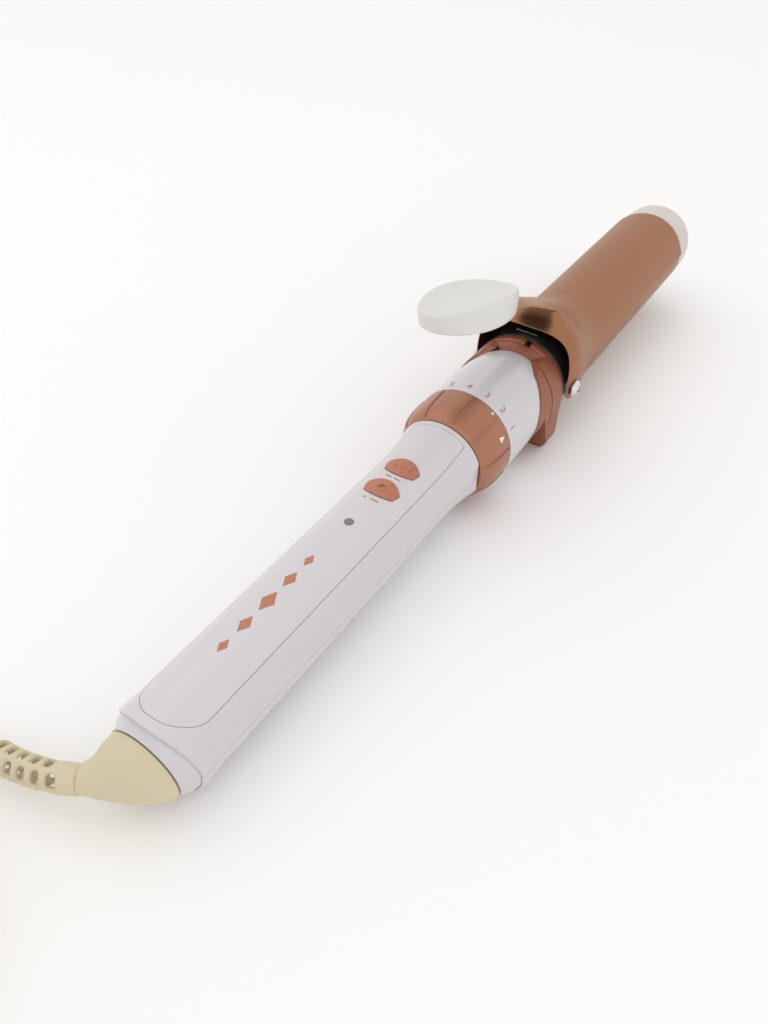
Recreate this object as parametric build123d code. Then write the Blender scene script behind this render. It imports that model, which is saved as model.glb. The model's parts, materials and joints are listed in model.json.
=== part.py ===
"""A spring-clamp curling iron with a 38 mm barrel, a setting dial, two buttons and a swivel cord.

Every piece of the iron is drawn with the barrel's axis along X and the handle's rear seam at X = 0,
and placed() then lays it on a table: the rear of the handle and the foot of the collar touch Z = 0.
The cord is drawn straight in the table's own frame.
"""

from build123d import *
import os
from math import asin, atan, cos, degrees, hypot, pi, radians, sin, tan

# ---- driving dimensions, millimetres and degrees ----
BARREL_R = 19.0
BARREL_WALL = 1.3
CLAMP_GAP = 0.3
CLAMP_WALL = 0.7
HANDLE_R = 15.0
HANDLE_WALL = 2.0
RING_START = 1.5
SHELL_START = 3.9
HANDLE_END = 149.4
DIAL_START = 150.0
DIAL_END = 166.8
NECK_START = 167.2
NECK_END = 206.0
NECK_R = 20.3
COLLAR_R = 20.2
COLLAR_END = 212.5
HINGE_X = 219.3
HINGE_Z = 0.8
BARREL_START = 214.0
BARREL_END = 356.0
TIP_END = 381.0
FOOT_DROP = 23.0
FOOT_X = 208.0
REAR_CONTACT_X = 4.2
REAR_R = 15.3
ORIGIN_X = -181.5

# ---- fits ----
RUNNING = 0.06
SEAM = 0.12

# ---- buttons and dial ----
DIAL_BORE_R = 15.0
RIB_COUNT = 10
MARK_COUNT = 5
MARK_STEP = 22.0
POINTER_ANGLE = 62.0
BUTTON_TRAVEL = 0.8
BUTTON_X = {"power": 107.0, "boost": 119.4}
LED_X = 92.6

# ---- cord ----
CORD_D = 6.0
RELIEF_R = 4.5
RELIEF_RINGS = 12
CORD_GAP = 0.3
COIL_CENTRE = (-268.0, 33.0)
COIL_R = 34.0
COIL_TURNS_WIDE = 3
COIL_LAYERS = 3
TIE_ANGLE = 200.0
TIE_WIDTH = 8.0
TIE_WALL = 0.6

TILT = degrees(asin((FOOT_DROP - REAR_R) / hypot(FOOT_X - REAR_CONTACT_X, FOOT_DROP - REAR_R)))
LIFT = REAR_R * cos(radians(TILT)) - REAR_CONTACT_X * sin(radians(TILT))
AXIS = Location((ORIGIN_X, 0, LIFT)) * Rotation(0, -TILT, 0)

parts = {}


def keep(name, shape):
    """File a finished piece under its node name."""
    parts[name] = shape


def placed(name, shape):
    """Lay a piece drawn along the barrel's axis on the table and file it."""
    keep(name, AXIS * shape)


def turned(*points):
    """A solid of revolution about X from (x, radius) points."""
    return revolve(make_face(Polyline([(x, 0, r) for x, r in points], close=True)), Axis.X)


def turned_curve(outer, inner):
    """A solid of revolution whose outer edge is a spline and whose other edges are straight."""
    edge = Spline([(x, 0, r) for x, r in outer])
    rest = Polyline([(x, 0, r) for x, r in [outer[-1], *inner, outer[0]]])
    return revolve(make_face(edge + rest), Axis.X)


def ring(start, end, outer, inner):
    """A plain tube along X."""
    return turned((start, inner), (start, outer), (end, outer), (end, inner))


def side_prism(points, half):
    """An X-Z outline made into a slab that is 2 * half wide."""
    outline = Polyline([(x, 0, z) for x, z in points], close=True)
    return extrude(make_face(outline), half, (0, 1, 0), both=True)


def plan_prism(face, low, high):
    """An X-Y face made into a column from height low to height high."""
    return extrude(Pos(0, 0, low) * face, high - low)


def block(x0, x1, y0, y1, z0, z1):
    """A box between its corners."""
    return Pos((x0 + x1) / 2, (y0 + y1) / 2, (z0 + z1) / 2) * Box(x1 - x0, y1 - y0, z1 - z0)


def peg(x, y, z0, z1, radius):
    """A round peg that stands along Z."""
    return Pos(x, y, (z0 + z1) / 2) * Cylinder(radius, z1 - z0)


def cross_peg(x, z, y0, y1, radius):
    """A round peg that lies along Y."""
    return Pos(x, (y0 + y1) / 2, z) * Rotation(90, 0, 0) * Cylinder(radius, abs(y1 - y0))


def about_axis(angle, shape):
    """Turn a piece about the barrel's axis, positive towards -Y."""
    return Rotation(angle, 0, 0) * shape


# ---- handle ----
PANEL_HALF = 10.6
PANEL_START = 7.0
PANEL_END = 147.6
PANEL_CORNER = 10.2
PANEL_FLOOR_R = 13.9
SCALLOP_HALF = 16.0
SCALLOP_DEPTH = 3.7
RING_SEAT_R = 14.3
RING_SEAT_END = 9.4
SCREW_XS = (34.0, 136.0)
BOARD = (62.0, 141.0, 1.0, 2.6)


def handle_body(inner_r):
    """The handle's outer shape, bored out to the given radius, with a wider seat at the front."""
    straight = Polyline((SHELL_START, 0, REAR_R), (9, 0, REAR_R), (14, 0, HANDLE_R), (124, 0, HANDLE_R))
    flare = Spline(
        (124, 0, HANDLE_R), (139, 0, 15.6), (HANDLE_END, 0, 17.1), tangents=[(1, 0, 0), (1, 0, 0.22)]
    )
    back = Polyline(
        (HANDLE_END, 0, 17.1),
        (HANDLE_END, 0, DIAL_BORE_R),
        (142.5, 0, DIAL_BORE_R),
        (142.5, 0, inner_r),
        (SHELL_START, 0, inner_r),
        (SHELL_START, 0, REAR_R),
    )
    return revolve(make_face(straight + flare + back), Axis.X)


def panel_plan(shrink):
    """The long inlay's outline: parallel sides, square front, rounded rear."""
    outline = Pos((PANEL_START + PANEL_END) / 2, 0) * Rectangle(
        PANEL_END - PANEL_START - 2 * shrink, 2 * (PANEL_HALF - shrink)
    )
    return fillet(outline.vertices().group_by(Axis.X)[0], PANEL_CORNER - shrink)


def button_plan(x, grow):
    """A half-moon: a slightly bowed rear edge, a deep front edge and rounded ends."""
    rear = ThreePointArc((x + 1.6, -5.6), (x, 0), (x + 1.6, 5.6))
    front = ThreePointArc((x + 5.0, 6.3), (x + 8.3, 0), (x + 5.0, -6.3))
    ends = Line((x + 1.6, 5.6), (x + 5.0, 6.3)) + Line((x + 5.0, -6.3), (x + 1.6, -5.6))
    plan = make_face(rear + front + ends)
    plan = fillet(plan.vertices(), 1.1)
    return offset(plan, grow) if grow else plan


def rear_scallop():
    """The column that trims the handle's rear end to an arc, seen from above."""
    arc = ThreePointArc((SCALLOP_DEPTH, -SCALLOP_HALF), (0, 0), (SCALLOP_DEPTH, SCALLOP_HALF))
    left, right = (SCALLOP_DEPTH, SCALLOP_HALF), (SCALLOP_DEPTH, -SCALLOP_HALF)
    front = Polyline(left, (160, SCALLOP_HALF), (160, -SCALLOP_HALF), right)
    return Pos(SHELL_START, 0) * plan_prism(make_face(arc + front), -20, 20)


def panel_recess():
    """The shallow seat in which the long inlay lies."""
    return plan_prism(panel_plan(0), 0, 20) - ring(0, 160, PANEL_FLOOR_R, 0)


def make_shells():
    body = handle_body(HANDLE_R - HANDLE_WALL) & rear_scallop()
    body -= ring(0, RING_SEAT_END + SEAM, RING_SEAT_R + SEAM, 0)
    lower = body & block(0, 160, -20, 20, -20, -0.05)
    for x in SCREW_XS:
        lower += peg(x, 0, -13.4, BOARD[2], 3.2) & block(0, 160, -20, 20, -20, 20)
        lower -= peg(x, 0, -20, -12.6, 2.6) + peg(x, 0, -13, BOARD[2], 1.0)
    upper = body & block(0, 160, -20, 20, 0.05, 20)
    window = plan_prism(Pos(109.5, 0) * Rectangle(41, 15), 5, 20)
    placed("handle_lower_shell", lower)
    placed("handle_upper_shell", upper - panel_recess() - window)


def make_panel():
    panel = handle_body(PANEL_FLOOR_R) & plan_prism(panel_plan(SEAM), 5, 20)
    for x in BUTTON_X.values():
        panel -= plan_prism(button_plan(x, SEAM), 5, 20)
    panel -= peg(LED_X, 0, 5, 20, 1.55)
    panel -= Pos(LED_X, 0, HANDLE_R + 11.4) * Sphere(12.0)
    placed("top_panel", panel)


def make_handle_screws():
    screws = Part() + [
        peg(x, 0, -14.2, -12.65, 2.5)
        + peg(x, 0, -12.7, 0.5, 1.0)
        - block(x - 2, x + 2, -0.3, 0.3, -15, -13.6)
        for x in SCREW_XS
    ]
    placed("housing_screws", screws)


def make_end_ring():
    bore = 7.0 + RUNNING
    outer = [(RING_START, 12.4), (RING_START + 1.1, 12.6), (4.4, 13.8), (6.2, RING_SEAT_R)]
    inner = [(RING_SEAT_END, RING_SEAT_R), (RING_SEAT_END, 11.4), (4, 11.4), (4, bore), (RING_START, bore)]
    placed("handle_end_ring", turned(*outer, *inner) - panel_recess())


def make_electronics():
    x0, x1, z0, z1 = BOARD
    placed("circuit_board", block(x0, x1, -9.5, 9.5, z0, z1))
    for name, x in BUTTON_X.items():
        switch = block(x + 1, x + 7, -3, 3, z1, z1 + 3.4) + peg(x + 4, 0, z1 + 3.3, z1 + 4.3, 1.5)
        placed(f"{name}_switch", switch)
    placed("indicator_led", block(LED_X - 1.6, LED_X + 1.6, -1.4, 1.4, z1, z1 + 1.6))
    placed("led_lens", peg(LED_X, 0, z1 + 1.8, 14.65, 1.5))
    relay = block(68, 84, -7, 7, z1, z1 + 7.5)
    placed("power_relay", fillet(relay.edges().filter_by(Axis.Z), 0.8))


def make_buttons():
    top = ring(90, 140, HANDLE_R + 0.55, 0)
    z1 = BOARD[3]
    for name, x in BUTTON_X.items():
        button = plan_prism(button_plan(x, 0), 10.2, 20) & top
        button += plan_prism(button_plan(x, 0.7), 10.2, 11.2)
        button += peg(x + 4, 0, z1 + 4.3 + BUTTON_TRAVEL + 0.1, 10.4, 1.5)
        crown = HANDLE_R + 0.55
        if name == "boost":
            dot = peg(x + 4.1, 0, crown - 0.4, crown + 0.25, 0.62)
            button += [about_axis(angle, dot) for angle in (-10, 0, 10)]
        else:
            button += peg(x + 4.1, 0, crown - 0.4, crown + 0.2, 1.7)
            button -= peg(x + 4.1, 0, crown - 0.3, crown + 1, 1.2)
        placed(f"{name}_button", button)


# ---- dial and neck ----
DIAL_OUTLINE = [(DIAL_START, 17.0), (151.6, 18.2), (155.5, 19.45), (160.5, 20.0), (DIAL_END, 20.15)]


def make_dial():
    inner = DIAL_BORE_R + RUNNING
    body = turned_curve(DIAL_OUTLINE, [(DIAL_END, inner), (DIAL_START, inner)])
    raised = turned_curve([(x, r + 0.4) for x, r in DIAL_OUTLINE], [(DIAL_END, 16.5), (DIAL_START, 16.5)])
    for k in range(RIB_COUNT):
        angle = k * 360 / RIB_COUNT + 7.5
        body += about_axis(angle, raised & block(DIAL_START + 1, DIAL_END - 0.4, -0.42, 0.42, 15, 22))
    placed("setting_dial", body)


def make_dial_marks():
    skin = ring(DIAL_START, DIAL_END, 20.32, 19.6)
    triangle = make_face(Polyline((161.6, -1.15), (161.6, 1.15), (164.6, 0), close=True))
    pointer = plan_prism(triangle, 18, 22) & skin
    dot = peg(165.4, 0, 19.7, 20.6, 0.5)
    marks = Part() + [about_axis(POINTER_ANGLE, pointer), about_axis(35.0, dot)]
    placed("dial_pointer", marks - parts_on_axis("setting_dial"))


def parts_on_axis(name):
    """A filed piece, back in the frame in which it was drawn."""
    return AXIS.inverse() * parts[name]


def make_spindle():
    tube = ring(143, 172, DIAL_BORE_R, 12.6)
    placed("dial_spindle", tube - peg(158, 0, -20, -10, 2.2))
    placed("detent_plunger", peg(158, 0, -14.75, -11.0, 2.15))


def make_neck():
    waist = [(188, NECK_R - 0.25), (197, 19.35), (202.5, 18.3), (NECK_END, 16.9)]
    outer = [(NECK_START, NECK_R - 0.15), (176, NECK_R), *waist]
    seat = [(172.2, 18.0), (172.2, DIAL_BORE_R), (NECK_START, DIAL_BORE_R)]
    neck = turned_curve(outer, [(NECK_END, 15.3), (198, 16.6), (188, 17.6), *seat])
    placed("neck_housing", neck - skirt(18.4, 22.0, 0.08))


def make_setting_marks():
    skin = ring(168, 174, NECK_R + 0.08, NECK_R - 1.0)
    bar = plan_prism(Pos(170.9, 0) * Rectangle(2.2, 0.55), 15, 22) & skin
    angles = [POINTER_ANGLE - k * MARK_STEP for k in range(MARK_COUNT)]
    marks = Part() + [about_axis(a, bar) for a in angles]
    placed("setting_marks", marks - parts_on_axis("neck_housing"))


# ---- collar, foot and bush ----
SKIRT = [(204.5, 16.6), (198.6, 14.8), (194.4, 8.6), (191.2, 1.5), (189.4, -6), (188.6, -24)]


def skirt(inner_r, outer_r, grow):
    """The lower rear lip of the collar, cut on a slant: high at the front, low at the rear."""
    slant = [(x - grow, z + grow) for x, z in SKIRT]
    outline = slant + [(210.5, -24), (210.5, SKIRT[0][1] + grow)]
    return ring(186, 212, outer_r, inner_r) & side_prism(outline, 24)


def foot():
    """A wide tongue under the collar that keeps the hot barrel off the table."""
    wide = COLLAR_R
    half = [(wide, 1), (wide, -17.5), (19.2, -20.6), (16.6, -23.4), (14.0, -27)]
    outline = Polyline([(0, y, z) for y, z in half + [(-y, z) for y, z in reversed(half)]], close=True)
    plate = extrude(Pos(190, 0, 0) * make_face(outline), 25, (1, 0, 0))
    wedge = side_prism([(196, 2), (206.2, -27.5), (211.4, -27.5), (212.2, 2)], 24)
    return (plate & wedge) - ring(180, 220, 18.5, 0)


def make_collar():
    groove = [(206.15, 16.9), (207.2, 18.4), (208.6, 19.3), (209.6, 19.5)]
    rim = [(210.1, COLLAR_R), (COLLAR_END, COLLAR_R), (COLLAR_END, 16.0), (208, 15.4)]
    lip = turned((206.15, 15.4), *groove, *rim)
    collar = lip + (skirt(18.5, COLLAR_R, 0) & ring(180, 210.1, 21, 18)) + foot()
    collar -= ring(202.3, 203.0, 22, COLLAR_R - 0.4)
    collar -= block(209.0, 213, -4.4, -1.6, 17.6, 24)
    collar -= AXIS.inverse() * block(-400, 400, -50, 50, -30, 0)
    placed("collar_foot", collar)


def make_bush():
    bush = turned(
        (199, 10.5), (199, 15.2), (207.5, 15.2), (COLLAR_END, 15.9), (COLLAR_END + 0.05, 18.6),
        (BARREL_START, 18.6), (BARREL_START, 17.65), (230, 17.65), (230, 10.5),
    )
    placed("insulating_bush", bush)


# ---- barrel, heater and tip ----
def make_barrel():
    placed("barrel_tube", ring(BARREL_START, BARREL_END, BARREL_R, BARREL_R - BARREL_WALL))
    rim, shoulder, nose = (BARREL_END + 11, 0, 18.7), (TIP_END - 5.2, 0, 15.4), (TIP_END, 0, 0)
    dome = Spline(rim, shoulder, nose, tangents=[(1, 0, -0.05), (0, 0, -1)])
    sides = Polyline(
        (TIP_END, 0, 0), (BARREL_END - 6, 0, 0), (BARREL_END - 6, 0, 17.6), (BARREL_END + 0.02, 0, 17.6),
        (BARREL_END + 0.02, 0, 18.5), (BARREL_END + 1.4, 0, 18.9), (BARREL_END + 11, 0, 18.7),
    )
    inside = [(BARREL_END - 7, 15.6), (TIP_END - 10, 15.0), (TIP_END - 6, 10), (TIP_END - 4, 0)]
    cavity = turned((BARREL_END - 7, 0), *inside)
    placed("tip_cap", revolve(make_face(dome + sides), Axis.X) - cavity)


def make_heater():
    shell = ring(234, 346, 17.4, 15.6)
    web = block(234, 346, -16.4, 16.4, 2.3, 4.3) & ring(234, 346, 17.4, 0)
    upper = (shell & block(230, 350, -20, 20, 2.3, 20)) + web
    placed("heater_shoe_upper", upper)
    placed("heater_shoe_lower", about_axis(180, upper))
    placed("ptc_heater", block(240, 340, -9, 9, -2.28, 2.28))
    placed("thermistor", Pos(256, 0, 5.85) * Rotation(0, 90, 0) * Cylinder(1.5, 12))
    placed("thermal_fuse", Pos(256, 0, -6.15) * Rotation(0, 90, 0) * Cylinder(1.8, 14))
    leads = Part() + [Pos(189.8, y, 0) * Rotation(0, 90, 0) * Cylinder(0.98, 100.4) for y in (-4, 4)]
    placed("heater_leads", leads)


# ---- hinge and clamp ----
ARCH_BACK = 213.6
FLARE_END = 250.0
CLAMP_FRONT = 354.5
CLAMP_IN = BARREL_R + CLAMP_GAP
CLAMP_OUT = CLAMP_IN + CLAMP_WALL
CLAMP_EDGE_Z = 3.4
EAR_IN = 20.45
EAR_OUT = 21.9
EAR_R = 5.8
SCREW_HEAD_R = 3.9


def round_section(x, radius, low):
    """A barrel section in the same five edges as arch_section, closed below at height low."""
    def at(angle):
        return (x, radius * sin(radians(angle)), radius * cos(radians(angle)))

    start = degrees(asin(low / radius)) + 90
    half = 180 - start if low > 0 else 90 - degrees(asin(low / radius))
    stops = [-half, -62, -38, 38, 62, half]
    arcs = [ThreePointArc(at(a), at((a + b) / 2), at(b)) for a, b in zip(stops, stops[1:])]
    return make_face(Curve() + arcs + Line(at(half), at(-half)))


def arch_section(x, half, top, crown, corner, low):
    """The clamp's mouth: straight sides, round corners and a slightly crowned roof."""
    side_top = top - corner
    inset = corner * (1 - sin(radians(45)))
    edges = [
        Line((x, -half, low), (x, -half, side_top)),
        ThreePointArc((x, -half, side_top), (x, -half + inset, top - inset), (x, -half + corner, top)),
        ThreePointArc((x, -half + corner, top), (x, 0, top + crown), (x, half - corner, top)),
        ThreePointArc((x, half - corner, top), (x, half - inset, top - inset), (x, half, side_top)),
        Line((x, half, side_top), (x, half, low)),
    ]
    return make_face(Curve() + edges + Line((x, half, low), (x, -half, low)))


def flare(half, radius, top, crown, corner, low):
    """One skin of the clamp's rear, from the barrel's round to the arch."""
    mouth = arch_section(ARCH_BACK, half, top, crown, corner, low)
    throat = arch_section(ARCH_BACK + 8, half, top - 0.6, crown, corner, low)
    return loft([round_section(FLARE_END, radius, low), throat, mouth], ruled=True)


def arm():
    """The lever: a strip that climbs back from the clamp's roof at a constant slope, then flattens."""
    top = [(250, 19.6), (246, 20.6), (206, 41.2), (197, 45.4), (141, 61.6)]
    bottom = [(141, 59.2), (196.4, 43.0), (205, 38.6), (214, 27.5), (216, 23.6), (236, 20.2)]
    strip = side_prism(top + bottom, 8.0)
    side = [(252, 8), (206, 8), (196, 7), (141, 5.5)]
    plan = Polyline(side + [(x, -y) for x, y in reversed(side)], close=True)
    return (strip & plan_prism(make_face(plan), 10, 70)) - ring(200, 260, CLAMP_IN, 0)


def make_clamp():
    shell = ring(FLARE_END, CLAMP_FRONT, CLAMP_OUT, CLAMP_IN) & block(200, 400, -30, 30, CLAMP_EDGE_Z, 40)
    outer = flare(EAR_OUT, CLAMP_OUT, 25.4, 3.2, 6.5, -5.0)
    inner = flare(EAR_IN, CLAMP_IN, 20.4, 2.6, 4.6, -5.4)
    skin = outer - inner - block(200, 260, -EAR_IN, EAR_IN, -10, 3)
    edge = [(260, CLAMP_EDGE_Z), (238, CLAMP_EDGE_Z), (226, HINGE_Z - 1.2), (200, HINGE_Z - 1.2)]
    under = side_prism([(200, -12), (260, -12), *edge], 30)
    skin = skin - under + ((outer - inner) & cross_peg(HINGE_X, HINGE_Z, -24, 24, EAR_R))
    clamp = shell + skin + arm()
    clamp -= cross_peg(HINGE_X, HINGE_Z, -24, 24, 1.6 + RUNNING)
    placed("clamp_lever", clamp)


def make_hinge():
    strap = ring(BARREL_START + 0.4, 224, BARREL_R + 0.6, BARREL_R)
    for side in (-1, 1):
        strap += cross_peg(HINGE_X, HINGE_Z, side * 17, side * 20.3, 3.4)
    strap -= ring(200, 240, BARREL_R, 0)
    placed("hinge_strap", strap)
    screws = Part()
    for side in (-1, 1):
        screw = cross_peg(HINGE_X, HINGE_Z, side * 20.3, side * 22.6, 1.6)
        screw += cross_peg(HINGE_X, HINGE_Z, side * 22.0, side * 22.7, 3.0)
        head = Pos(HINGE_X, side * 20.7, HINGE_Z) * Sphere(SCREW_HEAD_R + 0.1)
        head &= Pos(HINGE_X, side * 23.6, HINGE_Z) * Box(9, 2, 9)
        slots = block(HINGE_X - 1.7, HINGE_X + 1.7, -26, 26, HINGE_Z - 0.35, HINGE_Z + 0.35)
        slots += block(HINGE_X - 0.35, HINGE_X + 0.35, -26, 26, HINGE_Z - 1.7, HINGE_Z + 1.7)
        slots -= block(200, 240, -23.7, 23.7, -10, 10)
        screws += screw + (head - slots)
    placed("hinge_screws", screws)


def make_spring():
    top = [(222, 19.65), (222, 20.05), (217, 20.4), (214.6, 21.9)]
    bottom = [(214.6, 21.5), (217, 20.0), (219, 19.65)]
    placed("clamp_spring", side_prism(top + bottom, 4.5))


# ---- thumb rest ----
REST_FRONT = 195.5


def rest_plan(z, rear, middle, front):
    """The pad's outline at one height: round behind, widest at the middle, narrower in front."""
    tail = [(135.6, 0), (137.6, rear * 0.72), (143, rear), (164, middle)]
    nose = [(182, (middle + front) / 2), (192, front * 0.8), (REST_FRONT, 0)]
    half = tail + nose
    back = [(x, -y) for x, y in half[-2:0:-1]]
    return make_face(Spline([(x, y, z) for x, y in half + back], periodic=True))


def make_thumb_rest():
    body = loft([rest_plan(40, 12.6, 13.8, 9.8), rest_plan(72, 7.6, 9.0, 6.0)])
    crown = Spline((130, 0, 68.0), (145, 0, 66.6), (160, 0, 63.8), (180, 0, 57.8), (205, 0, 46.6))
    under = [(205, 0, 43.2), (196, 0, 44.4), (164, 0, 54.0), (136, 0, 61.4), (130, 0, 62.5)]
    base = Polyline((205, 0, 46.6), *under, (130, 0, 68.0))
    body &= extrude(make_face(crown + base), 20, (0, 1, 0), both=True)
    body -= Pos(154, 0, 64.6 + 42.4) * Sphere(44.0)
    body -= parts_on_axis("clamp_lever")
    placed("thumb_rest", body)


# ---- swivel, strain relief and cord ----
RELIEF_START = Vector(-10.6, 10.4, -1.0)
RELIEF_END = Vector(-17.4, 39.3, -6.5)
RELIEF_DIRECTION = Vector(-0.44, 0.89, -0.12)

# the elbow's sections: centre in plan, the way that the section faces, half width and half height
BOOT_SECTIONS = [
    ((1.4, 0.0), (-1.0, 0.0), 12.4, 12.4),
    ((-2.1, 0.9), (-0.99, 0.12), 11.6, 11.8),
    ((-5.0, 3.8), (-0.96, 0.27), 8.8, 9.8),
    ((-7.5, 6.9), (-0.8, 0.6), 6.3, 7.3),
    ((-9.2, 9.0), (-0.55, 0.84), 5.1, 5.4),
]


def make_swivel():
    sections = [
        Plane(origin=(x, y, 0), x_dir=(-ny, nx, 0), z_dir=(nx, ny, 0)) * Ellipse(half, tall)
        for (x, y), (nx, ny), half, tall in BOOT_SECTIONS
    ]
    sections.append(Plane(origin=RELIEF_START, x_dir=(0.89, 0.44, 0), z_dir=RELIEF_DIRECTION) * Circle(4.8))
    placed("swivel_boot", loft(sections) + ring(1.3, 4.3, 7.0, 0) + ring(4.2, 5.4, 8.1, 0))
    placed("slip_pin", ring(5.4, 11, 1.5, 0))
    placed("slip_ring", ring(5.4, 8.6, 5.0, 4.0))
    brushes = block(8.7, 10.5, 3.8, 5.2, -2, 2) + block(11.1, 12.9, -1.5, 1.5, -2, 2)
    brushes += block(8.7, 14.5, 5.2, 6.4, -2, 2) + block(12.9, 14.5, -1.5, 6.4, -2, 2)
    placed("contact_brushes", brushes)
    placed("brush_holder", block(14.5, 18.0, -11.5, 11.5, -4, 4) & ring(10, 20, 13.0, 0))


def relief_path():
    """The strain relief's arc: it leaves along the elbow and bends towards the table."""
    return TangentArc(RELIEF_START, RELIEF_END, tangent=RELIEF_DIRECTION)


def make_relief():
    path = relief_path()
    pitch = path.length / RELIEF_RINGS
    core = sweep((path ^ 0) * Circle(3.8), path=path)
    for k in range(RELIEF_RINGS):
        core += (path ^ ((k + 0.36) / RELIEF_RINGS)) * Cylinder(RELIEF_R - 0.04 * k, pitch * 0.7)
    placed("strain_relief", core)


# points of the cord on the table, hand set: from the strain relief to the coil, and on to the plug
LEAD = [
    (-199.8, 52.6, 5.1),
    (-205.2, 64.1, 3.8),
    (-214.6, 72.9, 3.2),
    (-226.6, 77.6, 3.0),
    (-240.0, 77.9, 3.0),
    (-252.5, 77.5, 3.0),
    (-263.5, 76.9, 3.0),
]
TAIL = [
    (-294.5, 64.0, 15.0),
    (-307.3, 54.0, 13.6),
    (-314.8, 44.3, 10.8),
    (-318.4, 35.0, 8.5),
    (-319.6, 26.0, 7.5),
]
PLUG_LENGTH = 34.0
BLADE_LENGTH = 16.5
BLADE_SPACING = 12.7


def cord_tube(name, points):
    """A round tube along straight runs joined by the largest tangent arcs that they allow."""
    points = [Vector(*p) for p in points]
    radii = []
    for a, b, c in zip(points, points[1:], points[2:]):
        turn = (b - a).get_angle(c - b)
        radii.append(0.45 * min((b - a).length, (c - b).length) / tan(radians(turn / 2)))
    path = FilletPolyline(points, radius=radii)
    start = path % 0
    tube = sweep(Plane(origin=points[0], z_dir=start) * Circle(CORD_D / 2), path=path)
    ratio = tube.volume / (pi * CORD_D**2 / 4 * path.length)
    print(f"{name} length {path.length:.1f} radii {[round(r) for r in radii]} volume ratio {ratio:.4f}")
    keep(name, tube)


def make_cord():
    exit_point = (AXIS * (relief_path() ^ 1) * Pos(0, 0, CORD_GAP)).position
    print("cord leaves the relief at", exit_point)
    cord_tube("cord_lead", [exit_point, *LEAD])
    cord_tube("cord_tail", TAIL)
    half = COIL_TURNS_WIDE * CORD_D / 2
    height = COIL_LAYERS * CORD_D
    section = Pos(COIL_R, height / 2) * RectangleRounded(2 * half, height, CORD_D / 2 - 0.4)
    coil = revolve(Plane.XZ * section, Axis.Z)
    keep("cord_coil", Pos(*COIL_CENTRE, 0) * coil)
    middle = Pos(COIL_R, 0, (height + TIE_WALL) / 2)
    outer = middle * Box(2 * (half + TIE_WALL), TIE_WIDTH, height + TIE_WALL)
    inner = middle * Box(2 * half, TIE_WIDTH + 2, height - TIE_WALL)
    keep("cord_tie", Pos(*COIL_CENTRE, 0) * Rotation(0, 0, TIE_ANGLE) * (outer - inner))


def make_plug():
    """A flat two-blade plug, drawn along its own Z from the cord to the blades."""
    start = Vector(*TAIL[-1])
    direction = start - Vector(*TAIL[-2])
    flat = Vector(direction.X, direction.Y, 0).normalized()
    frame = Location(Plane(origin=start, x_dir=(0, 0, 1), z_dir=flat))
    neck = Circle(4.2)
    waist = Pos(0, 0, PLUG_LENGTH * 0.42) * RectangleRounded(11, 13, 4)
    face = Pos(0, 0, PLUG_LENGTH) * RectangleRounded(14.6, 23, 5)
    throat = Pos(0, 0, 8) * RectangleRounded(9, 9.4, 4.2)
    keep("plug_body", frame * (loft([neck, Pos(0, 0, 8) * Circle(4.8)]) + loft([throat, waist, face])))
    blade = Pos(0, 0, BLADE_LENGTH / 2) * Box(6.35, 1.5, BLADE_LENGTH)
    blade -= Pos(0, 0, BLADE_LENGTH - 4) * Rotation(90, 0, 0) * Cylinder(1.6, 4)
    blades = Part() + [Pos(0, side * BLADE_SPACING / 2, PLUG_LENGTH) * blade for side in (-1, 1)]
    keep("plug_blades", frame * blades)


def build():
    make_shells()
    make_panel()
    make_handle_screws()
    make_end_ring()
    make_electronics()
    make_buttons()
    make_dial()
    make_dial_marks()
    make_spindle()
    make_neck()
    make_setting_marks()
    make_collar()
    make_bush()
    make_barrel()
    make_heater()
    make_clamp()
    make_hinge()
    make_spring()
    make_thumb_rest()
    make_swivel()
    make_relief()
    make_cord()
    make_plug()


build()
os.makedirs("parts", exist_ok=True)
for name, shape in parts.items():
    box = shape.bounding_box()
    solids = len(shape.solids())
    span = f"x {box.min.X:7.1f} {box.max.X:7.1f} z {box.min.Z:6.1f} {box.max.Z:6.1f}"
    print(f"{name:22s} solids {solids} volume {shape.volume:9.1f} {span}")
    export_step(shape, f"parts/{name}.step")
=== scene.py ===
"""Finishes a spring-clamp curling iron: its cord, strain relief, boot, clamp, thumb rest, marks and surfaces.

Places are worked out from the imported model. Sizes with no other unit are in millimetres on the iron's own
axes: X runs along the barrel from the rear seam of the handle, Y is to the left and Z is up.
"""

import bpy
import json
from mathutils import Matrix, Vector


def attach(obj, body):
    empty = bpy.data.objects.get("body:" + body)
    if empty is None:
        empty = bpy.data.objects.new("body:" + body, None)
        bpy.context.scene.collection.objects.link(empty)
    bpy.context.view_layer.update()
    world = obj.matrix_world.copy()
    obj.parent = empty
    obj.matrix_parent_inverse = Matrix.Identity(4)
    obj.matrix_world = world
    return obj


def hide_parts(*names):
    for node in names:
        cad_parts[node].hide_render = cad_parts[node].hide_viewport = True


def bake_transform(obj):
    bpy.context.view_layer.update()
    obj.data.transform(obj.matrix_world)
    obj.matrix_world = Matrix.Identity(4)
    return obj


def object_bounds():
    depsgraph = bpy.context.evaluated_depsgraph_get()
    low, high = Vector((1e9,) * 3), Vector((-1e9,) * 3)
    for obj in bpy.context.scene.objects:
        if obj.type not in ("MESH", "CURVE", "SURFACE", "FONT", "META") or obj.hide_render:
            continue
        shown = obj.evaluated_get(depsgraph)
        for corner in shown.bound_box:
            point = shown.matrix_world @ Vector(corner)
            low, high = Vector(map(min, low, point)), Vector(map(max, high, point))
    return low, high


bl_info = {
    "name": "Curling Iron Finish",
    "version": (1, 0, 0),
    "blender": (4, 5, 0),
    "location": "3D View > Sidebar > Iron",
    "description": "Cord, boot, clamp, thumb rest, marks and surfaces of a curling iron on a studio floor",
    "category": "Object",
}

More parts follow.
